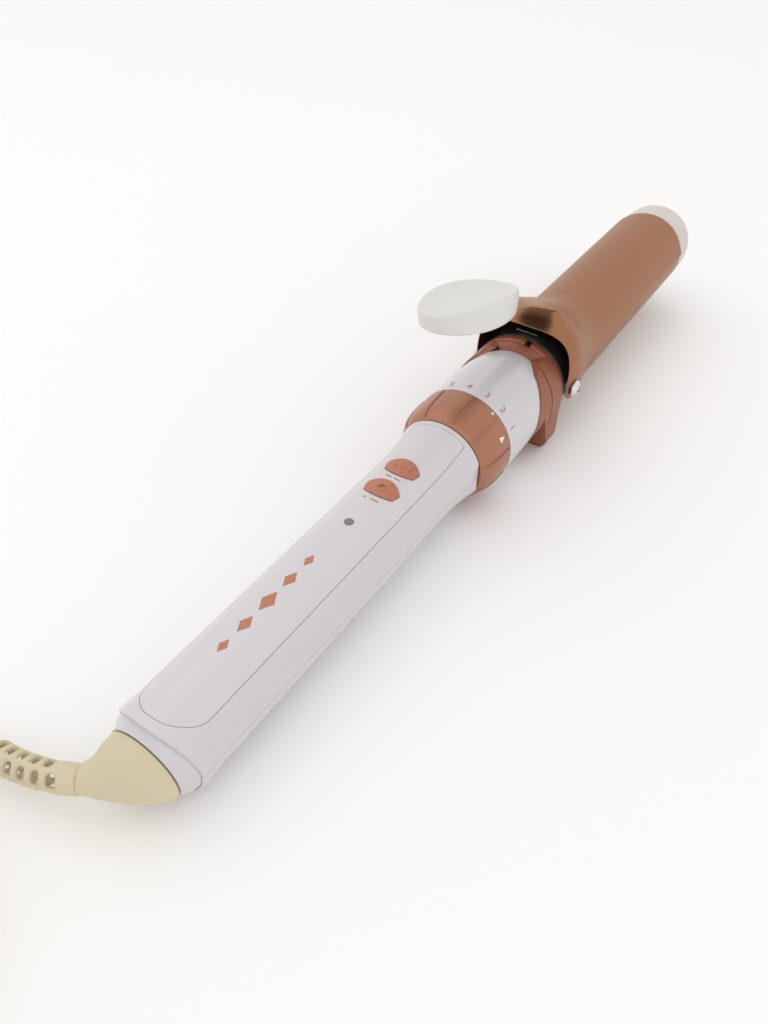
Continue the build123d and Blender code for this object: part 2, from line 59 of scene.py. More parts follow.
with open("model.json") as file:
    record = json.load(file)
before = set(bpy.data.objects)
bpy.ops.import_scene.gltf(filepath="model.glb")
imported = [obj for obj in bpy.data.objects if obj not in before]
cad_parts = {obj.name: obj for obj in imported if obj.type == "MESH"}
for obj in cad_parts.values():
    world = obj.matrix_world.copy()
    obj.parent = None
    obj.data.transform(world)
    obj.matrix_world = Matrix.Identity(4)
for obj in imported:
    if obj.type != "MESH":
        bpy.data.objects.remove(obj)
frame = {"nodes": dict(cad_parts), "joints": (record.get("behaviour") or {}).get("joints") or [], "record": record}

import json
from math import atan2, cos, pi, radians, sin

import bmesh
import bpy
from bpy.props import FloatProperty, FloatVectorProperty, IntProperty, PointerProperty
from mathutils import Matrix, Quaternion, Vector
from mathutils.bvhtree import BVHTree

MM = 0.001
NODES = frame["nodes"]
JOINTS = {joint["name"]: joint for joint in frame["joints"]}
CAD_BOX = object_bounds()

# the swivel's joint sits this far along the barrel's axis from the rear seam of the handle
SWIVEL_JOINT_X = 2.0
BARREL = -Vector(JOINTS["dial_turn"]["axis"])
SIDE = Vector((0, 1, 0))
REAR_SEAM = Vector(JOINTS["cord_swivel"]["pos_m"]) - SWIVEL_JOINT_X * MM * BARREL
IRON = Matrix.Translation(REAR_SEAM) @ Matrix((BARREL, SIDE, BARREL.cross(SIDE))).transposed().to_4x4()


def at(x, y, z):
    """The place of a point on the iron's own axes, given in millimetres."""
    return IRON @ (Vector((x, y, z)) * MM)


def around(x, radius, angle):
    """The place of a point round the barrel's axis: angle 0 is on top, and positive towards -Y."""
    return at(x, -radius * sin(radians(angle)), radius * cos(radians(angle)))


# ---------------------------------------------------------------- materials


class Value:
    """A socket that varies over a surface. Arithmetic on it adds Math nodes to its material."""

    def __init__(self, paint, socket):
        self.paint = paint
        self.socket = socket

    def math(self, operation, first, second):
        return self.paint.node("ShaderNodeMath", {"operation": operation}, {0: first, 1: second})

    def __add__(self, other):
        return self.math("ADD", self, other)

    def __radd__(self, other):
        return self.math("ADD", other, self)

    def __sub__(self, other):
        return self.math("SUBTRACT", self, other)

    def __rsub__(self, other):
        return self.math("SUBTRACT", other, self)

    def __mul__(self, other):
        return self.math("MULTIPLY", self, other)

    def __rmul__(self, other):
        return self.math("MULTIPLY", other, self)


class Paint:
    """The nodes of one material, round its Principled shader."""

    def __init__(self, name, **constants):
        plain = bpy.data.materials.get(name)
        if plain is not None:
            plain.name = name + "_plain"
        self.material = bpy.data.materials.new(name)
        self.material.use_nodes = True
        self.tree = self.material.node_tree
        self.shader = self.tree.nodes["Principled BSDF"]
        for socket, value in constants.items():
            self.shader.inputs[socket.replace("_", " ")].default_value = value

    def feed(self, socket, value):
        """Links a varying value to a socket, or sets the socket to a constant."""
        if isinstance(value, Value):
            self.tree.links.new(value.socket, socket)
        elif hasattr(value, "__len__") and len(value) == 3 and len(socket.default_value) == 4:
            socket.default_value = (*value, 1)
        else:
            socket.default_value = value

    def node(self, kind, settings=None, inputs=None, output=0):
        """Adds one node: first its settings, then the values or links of its sockets."""
        node = self.tree.nodes.new(kind)
        for key, value in (settings or {}).items():
            setattr(node, key, value)
        for key, value in (inputs or {}).items():
            self.feed(node.inputs[key], value)
        return Value(self, node.outputs[output])

    def place(self):
        """Where a point is on the piece, in metres."""
        return self.node("ShaderNodeTexCoord", output="Object")

    def noise(self, scale, detail=2.0, place=None, roughness=0.5):
        where = place or self.place()
        inputs = {"Vector": where, "Scale": scale, "Detail": detail, "Roughness": roughness}
        return self.node("ShaderNodeTexNoise", inputs=inputs)

    def stretched(self, scales):
        """Coordinates scaled by a different amount along each axis."""
        return self.node("ShaderNodeVectorMath", {"operation": "MULTIPLY"}, {0: self.place(), 1: scales})

    def ramp(self, value, low, high):
        """0 below low, 1 above high and even between them."""
        inputs = {"Value": value, "From Min": low, "From Max": high}
        return self.node("ShaderNodeMapRange", {"clamp": True}, inputs)

    def mix(self, share, first, second):
        """A colour between two colours."""
        return self.node("ShaderNodeMix", {"data_type": "RGBA"}, {0: share, 6: first, 7: second}, output=2)

    def rounded(self, radius):
        """The surface's direction with its edges rounded over by a radius in millimetres."""
        return self.node("ShaderNodeBevel", {"samples": 6}, {"Radius": radius * MM})

    def edges(self, radius):
        """A mask of the piece's edges, where the rounded direction leaves the flat one."""
        flat = self.node("ShaderNodeNewGeometry", output="Normal")
        both = {0: self.rounded(radius), 1: flat}
        match = self.node("ShaderNodeVectorMath", {"operation": "DOT_PRODUCT"}, both, output="Value")
        return self.ramp(1 - match, 0.02, 0.25)

    def finish(self, colour, roughness, height, depth, edge):
        """Feeds the shader with colour, roughness and a bump over rounded edges, its depth in millimetres."""
        self.feed(self.shader.inputs["Base Color"], colour)
        self.feed(self.shader.inputs["Roughness"], roughness)
        inputs = {"Height": height, "Strength": 1.0, "Distance": depth * MM, "Normal": self.rounded(edge)}
        self.feed(self.shader.inputs["Normal"], self.node("ShaderNodeBump", inputs=inputs))
        return self.material


def scaled(colour, factor):
    """A lighter or darker copy of a colour."""
    return tuple(min(1.0, part * factor) for part in colour)


def gloss_shell(name, colour):
    """Polished pearl plastic: faint drift of tone, soft handling marks and slightly darker, rubbed edges."""
    paint = Paint(name, Coat_Weight=0.35, Coat_Roughness=0.06, IOR=1.47)
    drift = paint.noise(14, 2)
    smears = paint.noise(95, 5, roughness=0.6)
    tone = paint.mix(drift, scaled(colour, 0.97), scaled(colour, 1.02))
    edge_tone = paint.mix(paint.edges(0.25) * 0.25, tone, scaled(colour, 0.84))
    return paint.finish(edge_tone, 0.2 + 0.1 * smears, paint.noise(420, 2), 0.01, 0.25)


def satin_plastic(name, colour, roughness=0.42, grain=2600, depth=0.012, edge=0.3):
    """Fine-grained moulded plastic."""
    paint = Paint(name, IOR=1.46)
    drift = paint.noise(22, 3)
    speck = paint.noise(grain, 2)
    tone = paint.mix(drift, scaled(colour, 0.94), scaled(colour, 1.03))
    edge_tone = paint.mix(paint.edges(edge) * 0.3, tone, scaled(colour, 0.82))
    return paint.finish(edge_tone, roughness + 0.12 * (speck - 0.5), speck, depth, edge)


def rose_metal(name, colour, metallic=0.6, roughness=0.36, edge=0.25):
    """Metallic rose paint on plastic: fine flake, and a painted highlight: a lighter line along the edges."""
    paint = Paint(name, Metallic=metallic, IOR=1.5, Coat_Weight=0.15, Coat_Roughness=0.25)
    flake = paint.noise(5200, 2, roughness=0.7)
    drift = paint.noise(30, 3)
    tone = paint.mix(flake, scaled(colour, 0.86), scaled(colour, 1.14))
    cloudy = paint.mix(drift * 0.35, tone, scaled(colour, 0.88))
    # painted highlight: the edges are painted much lighter, standing in for a glint along them
    edge_tone = paint.mix(paint.edges(edge) * 0.55, cloudy, scaled(colour, 1.55))
    return paint.finish(edge_tone, roughness + 0.1 * (drift - 0.5), flake, 0.008, edge)


def copper_coat(name, colour, edge=0.3):
    """Satin copper coating on metal: grinding lines round the barrel under a fine flake."""
    paint = Paint(name, Metallic=0.85, IOR=1.5)
    lines = paint.noise(1.0, 3, place=paint.stretched((2600.0, 34.0, 34.0)))
    flake = paint.noise(6000, 2, roughness=0.7)
    drift = paint.noise(16, 3)
    tone = paint.mix(flake * 0.5 + lines * 0.5, scaled(colour, 0.88), scaled(colour, 1.12))
    cloudy = paint.mix(drift * 0.5, tone, scaled(colour, 0.9))
    edge_tone = paint.mix(paint.edges(edge) * 0.35, cloudy, scaled(colour, 0.55))
    return paint.finish(edge_tone, 0.34 + 0.12 * lines, lines * 0.6 + flake * 0.4, 0.006, edge)


def soft_rubber(name, colour, roughness=0.62, edge=0.5):
    """Matte flexible plastic with a fine orange-peel grain and a little grime in the tone."""
    paint = Paint(name, IOR=1.45, Sheen_Weight=0.08)
    grime = paint.noise(55, 5, roughness=0.65)
    peel = paint.noise(1500, 3)
    tone = paint.mix(grime, scaled(colour, 0.9), scaled(colour, 1.05))
    speckled = paint.mix(paint.ramp(paint.noise(900, 2), 0.66, 0.74) * 0.3, tone, scaled(colour, 0.72))
    return paint.finish(speckled, roughness + 0.14 * (peel - 0.5), peel, 0.02, edge)


def bare_metal(name, colour, roughness=0.2, scratch=700.0):
    """Plated or plain metal with fine scratches along it."""
    paint = Paint(name, Metallic=1.0)
    scratches = paint.noise(1.0, 4, place=paint.stretched((60.0, scratch, scratch)))
    tarnish = paint.noise(160, 4)
    tone = paint.mix(tarnish, scaled(colour, 0.82), scaled(colour, 1.05))
    edge_tone = paint.mix(paint.edges(0.2) * 0.4, tone, scaled(colour, 0.6))
    return paint.finish(edge_tone, roughness + 0.16 * scratches, scratches, 0.006, 0.15)


def inner_part(name, colour, roughness=0.5, grain=700, metallic=0.0):
    """A plain inner part: mottled tone and a rough skin."""
    paint = Paint(name, Metallic=metallic, IOR=1.3)
    mottle = paint.noise(grain, 4)
    tone = paint.mix(mottle, scaled(colour, 0.78), scaled(colour, 1.12))
    return paint.finish(tone, roughness + 0.2 * (mottle - 0.5), mottle, 0.02, 0.15)


def smoked_lens(name, colour):
    """The lamp's smoked lens: darker flecks under a glossy skin."""
    paint = Paint(name, IOR=1.49, Coat_Weight=0.6, Coat_Roughness=0.05)
    flecks = paint.noise(1800, 3)
    tone = paint.mix(flecks, scaled(colour, 0.6), scaled(colour, 1.25))
    return paint.finish(tone, 0.18 + 0.1 * flecks, flecks, 0.01, 0.2)


def printed_ink(name, colour):
    """Pad-printed ink: slightly uneven cover and a matte skin."""
    paint = Paint(name)
    cover = paint.noise(2400, 3)
    tone = paint.mix(paint.ramp(cover, 0.35, 0.65), scaled(colour, 0.9), scaled(colour, 1.08))
    return paint.finish(tone, 0.5 + 0.1 * cover, cover, 0.004, 0.05)


class FinishSettings(bpy.types.PropertyGroup):
    """The colours of the iron's surfaces."""

    def tint(name, description, default):
        return FloatVectorProperty(
            name=name, description=description, default=default, subtype="COLOR", min=0.0, max=1.0
        )

    shell: tint("Handle", "Pearl white of the handle and neck", (0.63, 0.605, 0.63))
    rest: tint("Thumb rest", "Warm white of the thumb rest", (0.71, 0.70, 0.665))
    tip: tint("Cool tip", "Warm white of the cap on the barrel's end", (0.65, 0.605, 0.56))
    copper: tint("Barrel", "Copper coating of the barrel and clamp", (0.37, 0.168, 0.085))
    rose: tint("Dial", "Rose paint of the dial", (0.42, 0.18, 0.108))
    blush: tint("Buttons", "Pinker rose paint of the buttons and the printed marks", (0.50, 0.19, 0.115))
    collar: tint("Collar", "Darker copper plastic of the collar and foot", (0.31, 0.096, 0.048))
    cream: tint("Cord", "Cream of the cord, boot and strain relief", (0.66, 0.58, 0.40))


def finishes(tints):
    """Every finish of the iron, by the record's material slot."""
    return {
        "handle_white": gloss_shell("handle_white", tints.shell),
        "panel_white": gloss_shell("panel_white", scaled(tints.shell, 1.02)),
        "neck_white": gloss_shell("neck_white", scaled(tints.shell, 1.01)),
        "rest_white": satin_plastic("rest_white", tints.rest, 0.38, 1800, 0.01),
        "tip_white": satin_plastic("tip_white", tints.tip, 0.44),
        "rose_plastic": rose_metal("rose_plastic", tints.rose),
        "button_rose": rose_metal("button_rose", tints.blush, 0.35, 0.42),
        "collar_rose": rose_metal("collar_rose", tints.collar, 0.25, 0.46),
        "barrel_copper": copper_coat("barrel_copper", tints.copper),
        "clamp_copper": copper_coat("clamp_copper", scaled(tints.copper, 1.03)),
        # painted shade: the clamp's inside is near-black to stand in for the shadow under its arch
        "clamp_inside": inner_part("clamp_inside", (0.03, 0.017, 0.012), 0.7, 900, 0.3),
        "boot_cream": soft_rubber("boot_cream", tints.cream),
        "cord_cream": soft_rubber("cord_cream", tints.cream, 0.55, 0.3),
        "bush_black": inner_part("bush_black", (0.006, 0.006, 0.007), 0.75),
        "steel_chrome": bare_metal("steel_chrome", (0.78, 0.78, 0.80), 0.14),
        "strap_steel": bare_metal("strap_steel", (0.42, 0.42, 0.43), 0.32),
        "aluminium_shoe": bare_metal("aluminium_shoe", (0.6, 0.6, 0.61), 0.4, 300.0),
        "ceramic": inner_part("ceramic", (0.8, 0.79, 0.75), 0.7, 1500),
        "board_green": inner_part("board_green", (0.01, 0.1, 0.035), 0.35, 500),
        "black_plastic": inner_part("black_plastic", (0.02, 0.02, 0.021), 0.45),
        "lens_grey": smoked_lens("lens_grey", (0.20, 0.165, 0.17)),
        "brass": bare_metal("brass", (0.62, 0.44, 0.16), 0.25),
        "wire_white": soft_rubber("wire_white", (0.74, 0.73, 0.69), 0.5),
        "mark_brown": printed_ink("mark_brown", tints.blush),
        "mark_white": printed_ink("mark_white", (0.85, 0.83, 0.79)),
    }


def paint_with(obj, slot):
    """Gives a piece the finish of one material slot."""
    material = bpy.data.materials[slot]
    if len(obj.data.materials) == 0:
        obj.data.materials.append(material)
    for index in range(len(obj.data.materials)):
        obj.data.materials[index] = material


class IRON_OT_finishes(bpy.types.Operator):
    """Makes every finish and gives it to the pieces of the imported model"""

    bl_idname = "iron.finishes"
    bl_label = "Surfaces"

    def execute(self, context):
        finishes(context.scene.iron_finish)
        for part in frame["record"]["subparts"]:
            paint_with(NODES[part["node"]], part["material_slot"])
        for name in ("power_button", "boost_button"):
            paint_with(NODES[name], "button_rose")
        return {"FINISHED"}


# ---------------------------------------------------------------- mesh helpers


def add_object(name, data):
    """A new object in the scene for a mesh or curve."""
    obj = bpy.data.objects.new(name, data)
    bpy.context.scene.collection.objects.link(obj)
    return obj


def add_mesh(name, bm, slot, smooth=True):
    """Turns a bmesh into a finished object."""
    bmesh.ops.recalc_face_normals(bm, faces=bm.faces)
    mesh = bpy.data.meshes.new(name)
    bm.to_mesh(mesh)
    bm.free()
    for face in mesh.polygons:
        face.use_smooth = smooth
    obj = add_object(name, mesh)
    paint_with(obj, slot)
    return obj


def subdivided(obj, levels):
    """Adds a subdivision surface."""
    modifier = obj.modifiers.new("smooth", "SUBSURF")
    modifier.levels = levels
    modifier.render_levels = levels
    return obj


def mesh_of(obj):
    """A mesh copy of an object as it is shown."""
    evaluated = obj.evaluated_get(bpy.context.evaluated_depsgraph_get())
    return bpy.data.meshes.new_from_object(evaluated)


def surface_of(node):
    """The surface of a CAD node, for laying marks on it."""
    mesh = NODES[node].data
    return BVHTree.FromPolygons([v.co for v in mesh.vertices], [tuple(p.vertices) for p in mesh.polygons])


# a circle round the barrel's axis that clears every surface with marks on it
MARK_REACH = 40.0


def laid_on(surface, x, angle, lift):
    """The point of a surface that is seen from straight outside, raised by a lift in millimetres."""
    outside = around(x, MARK_REACH, angle)
    inward = (around(x, 0.0, angle) - outside).normalized()
    place, normal, _, _ = surface.ray_cast(outside, inward)
    if place is None:
        raise RuntimeError(f"there is no surface under the mark at {x} mm, {angle} degrees")
    return place + normal * (lift * MM)


# ---------------------------------------------------------------- stage


class StageSettings(bpy.types.PropertyGroup):
    """The camera, floor and lights."""

    lens: FloatProperty(
        name="Lens", description="Focal length on a 36 mm sensor", default=28.206, unit="CAMERA"
    )
    place: FloatVectorProperty(
        name="Camera", description="Where the camera stands", default=(-0.2399, -0.1100, 0.2064),
        subtype="TRANSLATION", unit="LENGTH",
    )
    heading: FloatProperty(
        name="Heading", description="Camera's turn from +X towards +Y", default=radians(32.81),
        subtype="ANGLE",
    )
    drop: FloatProperty(
        name="Drop", description="How far the camera looks down", default=radians(42.19), subtype="ANGLE"
    )
    roll: FloatProperty(name="Roll", description="Camera's roll", default=radians(1.85), subtype="ANGLE")
    floor: FloatVectorProperty(
        name="Floor", description="Colour of the floor", default=(0.96, 0.96, 0.96), subtype="COLOR"
    )
    key: FloatProperty(
        name="Key light", description="Power of the large light above", default=1.5, unit="POWER"
    )
    fill: FloatProperty(
        name="Fill light", description="Power of the light from behind", default=0.6, unit="POWER"
    )


SENSOR = 36.0
# half of the floor's side, and how far it lies under the iron, in metres
FLOOR_REACH = 3.0
FLOOR_DROP = 0.0002
# each light's place from the middle of the iron, and its side, in metres
KEY_PLACE, KEY_SIDE = (-0.1, 0.55, 1.1), 1.2
FILL_PLACE, FILL_SIDE = (-0.9, -0.5, 0.7), 0.9
WORLD_COLOUR, WORLD_STRENGTH = (1.0, 0.99, 0.98, 1), 0.95


def add_light(name, place, target, size, power):
    """A square area light that faces a target."""
    data = bpy.data.lights.new(name, "AREA")
    data.size = size
    data.energy = power
    lamp = add_object(name, data)
    lamp.location = place
    lamp.rotation_mode = "QUATERNION"
    lamp.rotation_quaternion = (Vector(target) - Vector(place)).to_track_quat("-Z", "Y")


class IRON_OT_stage(bpy.types.Operator):
    """Sets the camera, the pale floor and the soft lights"""

    bl_idname = "iron.stage"
    bl_label = "Stage"

    def execute(self, context):
        stage = context.scene.iron_stage
        data = bpy.data.cameras.new("camera")
        data.lens = stage.lens
        data.sensor_width = SENSOR
        data.clip_start = 0.01
        camera = add_object("camera", data)
        flat = Vector((cos(stage.heading), sin(stage.heading), 0)) * cos(stage.drop)
        forward = flat - Vector((0, 0, sin(stage.drop)))
        camera.location = stage.place
        camera.rotation_mode = "QUATERNION"
        camera.rotation_quaternion = forward.to_track_quat("-Z", "Y") @ Quaternion((0, 0, 1), stage.roll)
        context.scene.camera = camera
        context.scene.view_settings.view_transform = "Standard"

        floor = bmesh.new()
        bmesh.ops.create_grid(floor, x_segments=8, y_segments=8, size=FLOOR_REACH)
        bmesh.ops.translate(floor, verts=floor.verts, vec=(0, 0, -FLOOR_DROP))
        paint = Paint("studio_floor")
        tone = paint.mix(paint.noise(3, 2), scaled(stage.floor, 0.985), scaled(stage.floor, 1.0))
        paint.finish(tone, 0.7 + 0.1 * paint.noise(40, 2), paint.noise(300, 2), 0.01, 0.1)
        add_mesh("floor", floor, "studio_floor")

        middle = (CAD_BOX[0] + CAD_BOX[1]) / 2
        add_light("key", middle + Vector(KEY_PLACE), middle, KEY_SIDE, stage.key)
        add_light("fill", middle + Vector(FILL_PLACE), middle, FILL_SIDE, stage.fill)
        world = context.scene.world or bpy.data.worlds.new("world")
        context.scene.world = world
        world.use_nodes = True
        background = world.node_tree.nodes["Background"]
        background.inputs["Color"].default_value = WORLD_COLOUR
        background.inputs["Strength"].default_value = WORLD_STRENGTH
        return {"FINISHED"}


# ---------------------------------------------------------------- cord and strain relief

# the relief's arc: where it leaves the boot, its direction there, its end, and the way its front slots face
RELIEF_START = Vector((-10.6, 10.4, -1.0))
RELIEF_DIRECTION = Vector((-0.44, 0.89, -0.12)).normalized()
RELIEF_END = Vector((-17.4, 39.3, -6.5))
RELIEF_FRONT = Vector((-0.81, 0.0, 0.59))
# from the relief's end to where the bare cord starts
RELIEF_GAP = 0.3

# points of the cord on the table in metres: from the strain relief to the coil, and on to the plug
LEAD = [
    (-0.1998, 0.0526, 0.0051),
    (-0.2052, 0.0641, 0.0038),
    (-0.2146, 0.0729, 0.0032),
    (-0.2266, 0.0776, 0.0030),
    (-0.2400, 0.0779, 0.0030),
    (-0.2525, 0.0775, 0.0030),
    (-0.2635, 0.0769, 0.0030),
]
TAIL = [
    (-0.2945, 0.0640, 0.0150),
    (-0.3073, 0.0540, 0.0136),
    (-0.3148, 0.0443, 0.0108),
    (-0.3184, 0.0350, 0.0085),
    (-0.3196, 0.0260, 0.0075),
]
COIL_CENTRE = Vector((-0.268, 0.033, 0.0))
COIL_START_ANGLE = 105.0

# how the turns lie: degrees wound so far, radius of the turn and height of its centre, in millimetres
WINDING = [
    (0, 40, 3), (300, 40, 3), (360, 34, 3), (660, 34, 3), (720, 28, 3), (960, 28, 3), (1020, 28, 9),
    (1290, 28, 9), (1350, 34, 9), (1650, 34, 9), (1710, 40, 9), (2010, 40, 9), (2070, 34, 15),
    (2370, 34, 15), (2430, 40, 15), (2540, 40, 15),
]


class CordSettings(bpy.types.PropertyGroup):
    """The cord and its strain relief."""

    diameter: FloatProperty(name="Diameter", description="Of the round cord", default=0.006, unit="LENGTH")
    length: FloatProperty(name="Length", description="Of the whole cord", default=1.7, unit="LENGTH")
    points_per_turn: IntProperty(
        name="Points per turn", description="Of the coil's spline", default=16, min=12
    )
    relief: FloatProperty(
        name="Relief", description="Diameter of the strain relief", default=0.0088, unit="LENGTH"
    )


def relief_arc():
    """The relief's radius of bend in millimetres, the way that it bends, and its length."""
    chord = RELIEF_END - RELIEF_START
    sideways = chord - chord.dot(RELIEF_DIRECTION) * RELIEF_DIRECTION
    radius = chord.length_squared / (2 * sideways.length)
    turn = 2 * atan2(sideways.length, chord.dot(RELIEF_DIRECTION))
    return radius, sideways.normalized(), radius * turn


def along_relief(distance):
    """The place on the relief's centreline at a distance from the boot, and the direction there."""
    radius, bend, _ = relief_arc()
    turn = distance / radius
    place = RELIEF_START + radius * (sin(turn) * RELIEF_DIRECTION + (1 - cos(turn)) * bend)
    return place, cos(turn) * RELIEF_DIRECTION + sin(turn) * bend


def winding_at(turned):
    """The radius and height of the coil's cord after so many degrees."""
    for (a, r0, z0), (b, r1, z1) in zip(WINDING, WINDING[1:]):
        if turned <= b:
            share = (turned - a) / (b - a)
            return r0 + (r1 - r0) * share, z0 + (z1 - z0) * share
    return WINDING[-1][1:]


def coil_points(per_turn):
    """The coil's part of the cord, turn by turn."""
    step = 360 / per_turn
    points = []
    turned = 0.0
    while turned < WINDING[-1][0]:
        radius, height = winding_at(turned)
        angle = radians(COIL_START_ANGLE + turned)
        points.append(COIL_CENTRE + Vector((radius * cos(angle), radius * sin(angle), height)) * MM)
        turned += step
    return points


def cord_spline(name, points, radius):
    """A round cord that follows a smooth line near its points."""
    data = bpy.data.curves.new(name, "CURVE")
    data.dimensions = "3D"
    data.bevel_depth = radius
    data.bevel_resolution = 5
    data.resolution_u = 8
    data.use_fill_caps = True
    spline = data.splines.new("NURBS")
    spline.points.add(len(points) - 1)
    for point, place in zip(spline.points, points):
        point.co = (*place, 1)
    spline.order_u = 3
    spline.use_endpoint_u = True
    return add_object(name, data)


class IRON_OT_cord(bpy.types.Operator):
    """Lays the cord from the strain relief through its tied coil to the plug"""

    bl_idname = "iron.cord"
    bl_label = "Cord"

    def execute(self, context):
        cord = context.scene.iron_cord
        end, direction = along_relief(relief_arc()[2])
        start = at(*(end + direction * RELIEF_GAP))
        lead, tail = [Vector(p) for p in LEAD], [Vector(p) for p in TAIL]
        points = [start, *lead, *coil_points(cord.points_per_turn), *tail]
        line = mesh_of(cord_spline("cord_line", points, 0.0))
        bpy.data.objects.remove(bpy.data.objects["cord_line"])
        round_cord = cord_spline("cord_tube", points, cord.diameter / 2)
        tube = add_object("cord", mesh_of(round_cord))
        bpy.data.objects.remove(round_cord)
        paint_with(tube, "cord_cream")
        for face in tube.data.polygons:
            face.use_smooth = True
        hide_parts("cord_lead", "cord_coil", "cord_tail")
        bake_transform(tube)
        return {"FINISHED"}


RELIEF_COLUMNS = 16
RELIEF_SLOTS = 10
# the plain sleeve's share of the relief's length
RELIEF_SLEEVE = 0.21
# the columns that are open on one side in even and in odd rows
SLOT_COLUMNS = {0: (0, 1, 15), 1: (3, 4, 5)}
# how deep the relief's bore cuts into the cord, in millimetres
RELIEF_GRIP = 0.35


def relief_rows(length):
    """Where the relief's rows start and end, with what is open in each."""
    sleeve = length * RELIEF_SLEEVE
    pitch = (length - sleeve) / (RELIEF_SLOTS + 0.5)
    rows = [(0.0, sleeve, ())]
    for k in range(RELIEF_SLOTS):
        half = SLOT_COLUMNS[k % 2]
        open_columns = half + tuple((c + RELIEF_COLUMNS // 2) % RELIEF_COLUMNS for c in half)
        rows.append((sleeve + k * pitch, sleeve + (k + 1) * pitch, open_columns))
    rows.append((length - 0.5 * pitch, length, ()))
    return rows


class IRON_OT_relief(bpy.types.Operator):
    """Moulds the slotted strain relief behind the boot"""

    bl_idname = "iron.relief"
    bl_label = "Strain relief"

    def execute(self, context):
        cord = context.scene.iron_cord
        length = relief_arc()[2]
        outside = cord.relief / 2 / MM
        bm = bmesh.new()
        rows = relief_rows(length)
        stations = [rows[0][0]] + [row[1] for row in rows]
        bore = cord.diameter / 2 / MM - RELIEF_GRIP

        def corner(station, column, radius):
            angle = 2 * pi * (column - 0.5) / RELIEF_COLUMNS
            place, direction = along_relief(station)
            front = (RELIEF_FRONT - RELIEF_FRONT.dot(direction) * direction).normalized()
            out = front * cos(angle) + direction.cross(front) * sin(angle)
            return bm.verts.new(at(*(place + out * radius)))

        columns = range(RELIEF_COLUMNS)
        outer = [[corner(s, c, outside) for c in columns] for s in stations]
        inner = [[corner(s, c, bore) for c in columns] for s in stations]

        def solid(row, column):
            return 0 <= row < len(rows) and column % RELIEF_COLUMNS not in rows[row][2]

        for r in range(len(rows)):
            for c in columns:
                d = (c + 1) % RELIEF_COLUMNS
                if not solid(r, c):
                    continue
                bm.faces.new((outer[r][c], outer[r][d], outer[r + 1][d], outer[r + 1][c]))
                bm.faces.new((inner[r][c], inner[r + 1][c], inner[r + 1][d], inner[r][d]))
                if not solid(r, c - 1):
                    bm.faces.new((outer[r][c], outer[r + 1][c], inner[r + 1][c], inner[r][c]))
                if not solid(r, c + 1):
                    bm.faces.new((outer[r][d], inner[r][d], inner[r + 1][d], outer[r + 1][d]))
                if not solid(r - 1, c):
                    bm.faces.new((outer[r][c], inner[r][c], inner[r][d], outer[r][d]))
                if not solid(r + 1, c):
                    bm.faces.new((outer[r + 1][c], outer[r + 1][d], inner[r + 1][d], inner[r + 1][c]))
        relief = subdivided(add_mesh("relief", bm, "boot_cream"), 2)
        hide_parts("strain_relief")
        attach(relief, "swivel")
        return {"FINISHED"}


# ---------------------------------------------------------------- moulded and pressed pieces


def loop_mesh(bm, rings, closed):
    """Joins rings of vertices into a skin. Closed rings meet themselves."""
    rows = [[bm.verts.new(at(*point)) for point in ring] for ring in rings]
    for low, high in zip(rows, rows[1:]):
        count = len(low)
        for k in range(count if closed else count - 1):
            j = (k + 1) % count
            bm.faces.new((low[k], low[j], high[j], high[k]))
    return rows


# the boot's sections in millimetres: centre in plan, the way that the section faces, half width, half height
BOOT_SECTIONS = [
    ((4.2, 0.0), (-1.0, 0.0), 6.9, 6.9),
    ((1.5, 0.0), (-1.0, 0.0), 6.9, 6.9),
    ((1.4, 0.0), (-1.0, 0.0), 12.0, 12.0),
    ((1.1, 0.0), (-1.0, 0.0), 12.4, 12.4),
    ((-1.6, 0.7), (-0.99, 0.12), 11.7, 11.9),
    ((-4.6, 3.5), (-0.96, 0.27), 9.1, 10.2),
    ((-7.2, 6.6), (-0.8, 0.6), 6.5, 7.7),
    ((-9.0, 8.6), (-0.58, 0.81), 5.0, 5.5),
    ((-10.3, 10.3), (-0.48, 0.88), 4.5, 4.6),
    ((-10.7, 11.1), (-0.44, 0.9), 4.4, 4.4),
]
BOOT_POINTS = 20


class IRON_OT_boot(bpy.types.Operator):
    """Moulds the soft elbow that turns at the handle's rear end"""

    bl_idname = "iron.boot"
    bl_label = "Boot"

    def execute(self, context):
        rings = []
        for (x, y), (nx, ny), half, tall in BOOT_SECTIONS:
            angles = [2 * pi * k / BOOT_POINTS for k in range(BOOT_POINTS)]
            rings.append([(x - ny * half * sin(a), y + nx * half * sin(a), tall * cos(a)) for a in angles])
        bm = bmesh.new()
        rows = loop_mesh(bm, rings, True)
        bm.faces.new(rows[0])
        bm.faces.new(rows[-1])
        boot = subdivided(add_mesh("boot", bm, "boot_cream"), 2)
        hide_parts("swivel_boot")
        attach(boot, "swivel")
        return {"FINISHED"}


class RestSettings(bpy.types.PropertyGroup):
    """The thumb rest."""

    middle: FloatProperty(
        name="Middle", description="Along the barrel from the rear seam", default=0.1652, unit="LENGTH"
    )
    reach: FloatProperty(name="Reach", description="Half of the rest's length", default=0.0306, unit="LENGTH")
    width: FloatProperty(
        name="Width", description="Across the foot of the rest", default=0.0234, unit="LENGTH"
    )
    dish: FloatProperty(
        name="Dish", description="Depth of the hollow for the thumb", default=0.0028, unit="LENGTH"
    )


REST_POINTS = 28
# rings from the underside to the middle of the dish: share of the width, millimetres off each end,
# share of the height from the foot to the crown, share of the dish's depth
REST_RINGS = [
    (0.0, 26.0, 0.0, 0.0), (0.62, 9.0, 0.0, 0.0), (0.94, 3.4, 0.0, 0.0), (1.0, 2.6, 0.08, 0.0),
    (0.985, 2.0, 0.3, 0.0), (0.93, 0.7, 0.68, 0.0), (0.89, 0.2, 0.9, 0.0), (0.85, 0.6, 0.985, 0.0),
    (0.80, 1.4, 1.0, 0.0), (0.74, 2.6, 1.0, 0.14), (0.6, 6.0, 1.0, 0.55), (0.4, 12.0, 1.0, 0.9),
    (0.18, 20.0, 1.0, 1.0), (0.0, 26.0, 1.0, 1.0),
]


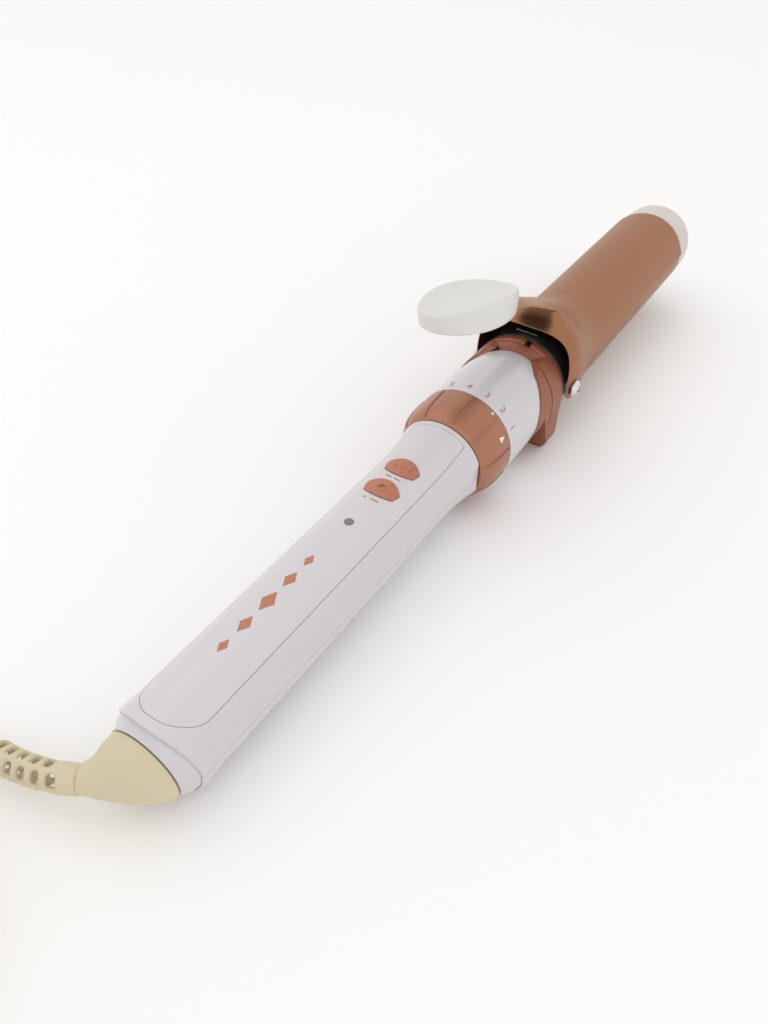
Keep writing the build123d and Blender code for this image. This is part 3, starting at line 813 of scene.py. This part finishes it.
# the top line: a place, its height, the slope there and the bend; the lower edge: a place, height and slope
CROWN_X, CROWN_HEIGHT, CROWN_SLOPE, CROWN_BEND = 145, 66.6, 0.1378, 0.00326
FOOT_X, FOOT_HEIGHT, FOOT_SLOPE = 164, 52.6, 0.283
# how much wider the rest is towards its front than in its middle
REST_FLARE = 0.14


def rest_crown(x):
    """The height of the thumb rest's top line."""
    return CROWN_HEIGHT - CROWN_SLOPE * (x - CROWN_X) - CROWN_BEND * (x - CROWN_X) ** 2


def rest_foot(x):
    """The height of the thumb rest's lower edge, which follows the lever."""
    return FOOT_HEIGHT - FOOT_SLOPE * (x - FOOT_X)


class IRON_OT_rest(bpy.types.Operator):
    """Moulds the dished thumb rest on the lever"""

    bl_idname = "iron.rest"
    bl_label = "Thumb rest"

    def execute(self, context):
        rest = context.scene.iron_rest
        rings = []
        for share, inset, rise, hollow in REST_RINGS:
            ring = []
            for k in range(REST_POINTS):
                turn = 2 * pi * k / REST_POINTS
                x = rest.middle / MM - (rest.reach / MM - inset) * cos(turn)
                y = share * rest.width / 2 / MM * sin(turn) * (1 + REST_FLARE * cos(turn))
                z = rest_foot(x) + rise * (rest_crown(x) - rest_foot(x))
                z -= hollow * rest.dish / MM * (0.75 + 0.5 * cos(turn) * (1 - hollow))
                ring.append((x, y, z))
            rings.append(ring)
        bm = bmesh.new()
        rows = loop_mesh(bm, rings, True)
        bm.faces.new(rows[0])
        bm.faces.new(rows[-1])
        piece = subdivided(add_mesh("thumb_pad", bm, "rest_white"), 2)
        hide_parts("thumb_rest")
        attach(piece, "clamp")
        return {"FINISHED"}


class ClampSettings(bpy.types.PropertyGroup):
    """The clamp and its lever."""

    sheet: FloatProperty(
        name="Sheet", description="Thickness of the pressed sheet", default=0.0007, unit="LENGTH"
    )
    edge: FloatProperty(
        name="Edge", description="Height of the clamp's long edges", default=0.0034, unit="LENGTH"
    )
    ear: FloatProperty(
        name="Ear", description="Radius of the ears round the screws", default=0.0058, unit="LENGTH"
    )


HINGE = (219.3, 0.8)
# sections of the clamp in millimetres: place, half width, height, squareness of the corners and rise of the
# lever's root
CLAMP_SECTIONS = [
    (354.5, 20.0, 20.0, 2.0, 0.0), (353.4, 20.0, 20.0, 2.0, 0.0), (330, 20.0, 20.0, 2.0, 0.0),
    (292, 20.0, 20.0, 2.0, 0.0), (262, 20.0, 20.0, 2.0, 0.0), (252, 20.0, 20.1, 2.02, 0.0),
    (245, 20.2, 21.1, 2.1, 0.4), (238, 20.8, 22.7, 2.3, 1.7), (232, 21.6, 24.6, 2.7, 3.0),
    (227, 22.3, 26.1, 3.1, 4.5), (222.6, 22.6, 27.0, 3.4, 6.0), (219.6, 22.5, 27.0, 3.6, 0.0),
    (216.4, 21.9, 26.1, 3.8, 0.0), (213.6, 21.3, 25.1, 4.0, 0.0),
]
# the section that the lever grows from
RIDGE = 10
# where the long edges start to drop towards the mouth, over what length, and how far under the axis they end
MOUTH_X, MOUTH_LENGTH, MOUTH_DROP = 238, 12, 0.4
# half width of the clamp over the barrel, how far it widens at the mouth, and the lean of its sides there
SHELL_HALF, MOUTH_FLARE, MOUTH_LEAN = 20, 2.6, 0.035
# the height under which the sides lean, and the least height of a section's points over its edge
LEAN_HEIGHT, EDGE_LAND = 9, 1.0
CLAMP_ANGLES = [0, 9, 17, 24, 31, 37, 43, 50, 60, 72, 84]
ARM_COLUMNS = 2
# the lever behind the ridge: place, half width, height of its middle and droop of its edges
ARM_ROWS = [
    (216.0, 8.0, 36.2, 2.2), (208.0, 7.9, 40.1, 1.7), (197.0, 7.0, 45.4, 1.2), (180.0, 6.4, 50.3, 0.8),
    (160.0, 5.9, 56.0, 0.6), (143.0, 5.6, 60.9, 0.5),
]


def clamp_low(x, edge, ear):
    """The height of the clamp's edge: level along the barrel, lower at the mouth, round at the ears."""
    share = min(max((MOUTH_X - x) / MOUTH_LENGTH, 0), 1)
    level = edge - share * (edge + MOUTH_DROP)
    reach = ear**2 - (x - HINGE[0]) ** 2
    return min(level, HINGE[1] - reach**0.5) if reach > 0 else level


def clamp_half(section, edge, ear):
    """One half of a clamp section, from the middle of the roof to the lower edge."""
    x, half, top, square, rise = section
    low = clamp_low(x, edge, ear)
    points = []
    for angle in CLAMP_ANGLES:
        s, c = sin(radians(angle)), cos(radians(angle))
        radius = ((s / half) ** square + (c / top) ** square) ** (-1 / square)
        y, z = radius * s, max(radius * c, low + EDGE_LAND)
        below = min(max((LEAN_HEIGHT - z) / LEAN_HEIGHT, 0), 1)
        lean = (half - SHELL_HALF) / MOUTH_FLARE * MOUTH_LEAN * below
        lift = rise * (1 - min(max((y - 5) / 10, 0), 1)) ** 1.5
        points.append((y * (1 - lean), z + lift))
    points.append((points[-1][0], low))
    return [(x, y, z) for y, z in points]


class IRON_OT_clamp(bpy.types.Operator):
    """Presses the clamp: its shell, its square mouth with two ears, and the lever"""

    bl_idname = "iron.clamp"
    bl_label = "Clamp"

    def execute(self, context):
        clamp = context.scene.iron_clamp
        rings = []
        for section in CLAMP_SECTIONS:
            half = clamp_half(section, clamp.edge / MM, clamp.ear / MM)
            rings.append([(x, -y, z) for x, y, z in reversed(half[1:])] + half)
        bm = bmesh.new()
        rows = loop_mesh(bm, rings, False)
        middle = len(CLAMP_ANGLES)
        low = rows[RIDGE][middle - ARM_COLUMNS : middle + ARM_COLUMNS + 1]
        for x, half, height, droop in ARM_ROWS:
            shares = [k / ARM_COLUMNS for k in range(-ARM_COLUMNS, ARM_COLUMNS + 1)]
            high = [bm.verts.new(at(x, half * t, height - droop * t * t)) for t in shares]
            for k in range(2 * ARM_COLUMNS):
                bm.faces.new((low[k], low[k + 1], high[k + 1], high[k]))
            low = high
        piece = add_mesh("clamp", bm, "clamp_copper")
        thick = piece.modifiers.new("sheet", "SOLIDIFY")
        thick.thickness = clamp.sheet
        thick.offset = -1.0
        thick.use_even_offset = True
        # the sheet's inner face takes the near-black painted shade of the clamp's inside
        thick.material_offset = 1
        thick.material_offset_rim = 0
        piece.data.materials.append(bpy.data.materials["clamp_inside"])
        subdivided(piece, 2)
        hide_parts("clamp_lever")
        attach(piece, "clamp")
        return {"FINISHED"}


# ---------------------------------------------------------------- marks


class MarkSettings(bpy.types.PropertyGroup):
    """The printed numbers and marks."""

    number_height: FloatProperty(
        name="Numbers", description="Height of the setting numbers", default=0.0031, unit="LENGTH"
    )
    lift: FloatProperty(
        name="Ink", description="How far the ink stands off the surface", default=0.00006, unit="LENGTH"
    )


# the foot of the setting numbers along the barrel
SETTING_X = 169.7
# plain bars beside the buttons: place along the barrel, place across, length and width
BUTTON_BARS = [
    (104.6, -1.2, 3.0, 0.5), (104.6, 2.6, 1.2, 0.5), (117.4, -1.6, 2.4, 0.5), (117.4, 1.8, 2.4, 0.5),
]
# a row of lozenges along the panel: place of each and half of its length
LOZENGES = [(34.0, 2.6), (43.0, 3.4), (53.0, 4.2), (63.0, 3.4), (72.0, 2.6)]
# a lozenge's half width as a share of its half length
LOZENGE_WIDTH = 0.55
PANEL_RADIUS = 15.0
SETTING_ANGLES = [62.0 - 22.0 * k for k in range(5)]
NECK_RADIUS = 20.2
# a digit's height as a share of the font's size
DIGIT_HEIGHT = 0.7


def text_mesh(text, height):
    """A flat mesh of a text, centred on X with its foot at Y = 0, in millimetres."""
    data = bpy.data.curves.new("text", "FONT")
    data.body = text
    data.align_x = "CENTER"
    data.size = height / DIGIT_HEIGHT
    data.resolution_u = 4
    obj = add_object("text", data)
    mesh = mesh_of(obj)
    bpy.data.objects.remove(obj)
    return mesh


class IRON_OT_numbers(bpy.types.Operator):
    """Prints the numbers of the five settings round the neck"""

    bl_idname = "iron.numbers"
    bl_label = "Setting numbers"

    def execute(self, context):
        marks = context.scene.iron_marks
        neck = surface_of("neck_housing")
        bm = bmesh.new()
        for k, angle in enumerate(SETTING_ANGLES):
            mesh = text_mesh(str(k + 1), marks.number_height / MM)
            first = len(bm.verts)
            bm.from_mesh(mesh)
            bm.verts.ensure_lookup_table()
            for vert in bm.verts[first:]:
                turn = angle + vert.co.x / NECK_RADIUS * 180 / pi
                vert.co = laid_on(neck, SETTING_X + vert.co.y, turn, marks.lift / MM)
        numbers = add_mesh("setting_numbers", bm, "mark_brown", smooth=False)
        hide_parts("setting_marks")
        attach(numbers, "handle")
        return {"FINISHED"}


class IRON_OT_motif(bpy.types.Operator):
    """Prints plain bars beside the buttons and a row of lozenges on the panel"""

    bl_idname = "iron.motif"
    bl_label = "Panel marks"

    def execute(self, context):
        lift = context.scene.iron_marks.lift / MM
        panel = surface_of("top_panel")
        outlines = []
        for x, y, length, width in BUTTON_BARS:
            sides = (-length / 2, -length / 6, length / 6, length / 2)
            outlines.append([(x, y + k) for k in sides] + [(x + width, y + k) for k in reversed(sides)])
        for x, half in LOZENGES:
            side = half * LOZENGE_WIDTH
            outlines.append([(x - half, 0), (x, side), (x + half, 0), (x, -side)])
        bm = bmesh.new()
        for outline in outlines:
            turns = [(x, -y / PANEL_RADIUS * 180 / pi) for x, y in outline]
            bm.faces.new([bm.verts.new(laid_on(panel, x, turn, lift)) for x, turn in turns])
        marks = add_mesh("panel_marks", bm, "mark_brown", smooth=False)
        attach(marks, "handle")
        return {"FINISHED"}


# ---------------------------------------------------------------- panel


class VIEW3D_PT_iron(bpy.types.Panel):
    """Lists the iron's pieces and their settings"""

    bl_label = "Iron"
    bl_space_type = "VIEW_3D"
    bl_region_type = "UI"
    bl_category = "Iron"

    def draw(self, context):
        for operator in OPERATORS:
            self.layout.operator(operator.bl_idname)
        for group in SETTINGS:
            settings = getattr(context.scene, group)
            for name in settings.__annotations__:
                self.layout.prop(settings, name)


SETTINGS = {
    "iron_stage": StageSettings,
    "iron_finish": FinishSettings,
    "iron_cord": CordSettings,
    "iron_rest": RestSettings,
    "iron_clamp": ClampSettings,
    "iron_marks": MarkSettings,
}
OPERATORS = [
    IRON_OT_finishes,
    IRON_OT_stage,
    IRON_OT_relief,
    IRON_OT_cord,
    IRON_OT_boot,
    IRON_OT_rest,
    IRON_OT_clamp,
    IRON_OT_numbers,
    IRON_OT_motif,
]


def register():
    """Registers the iron's settings, operators and panel."""
    for cls in [*SETTINGS.values(), *OPERATORS, VIEW3D_PT_iron]:
        bpy.utils.register_class(cls)
    for name, group in SETTINGS.items():
        setattr(bpy.types.Scene, name, PointerProperty(type=group))


def unregister():
    """Takes the iron's settings, operators and panel away again."""
    for name in SETTINGS:
        delattr(bpy.types.Scene, name)
    for cls in reversed([*SETTINGS.values(), *OPERATORS, VIEW3D_PT_iron]):
        bpy.utils.unregister_class(cls)


def main():
    """Finishes the whole iron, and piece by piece."""
    register()
    for operator in OPERATORS:
        group, name = operator.bl_idname.split(".")
        getattr(getattr(bpy.ops, group), name)()


if __name__ == "__main__":
    main()
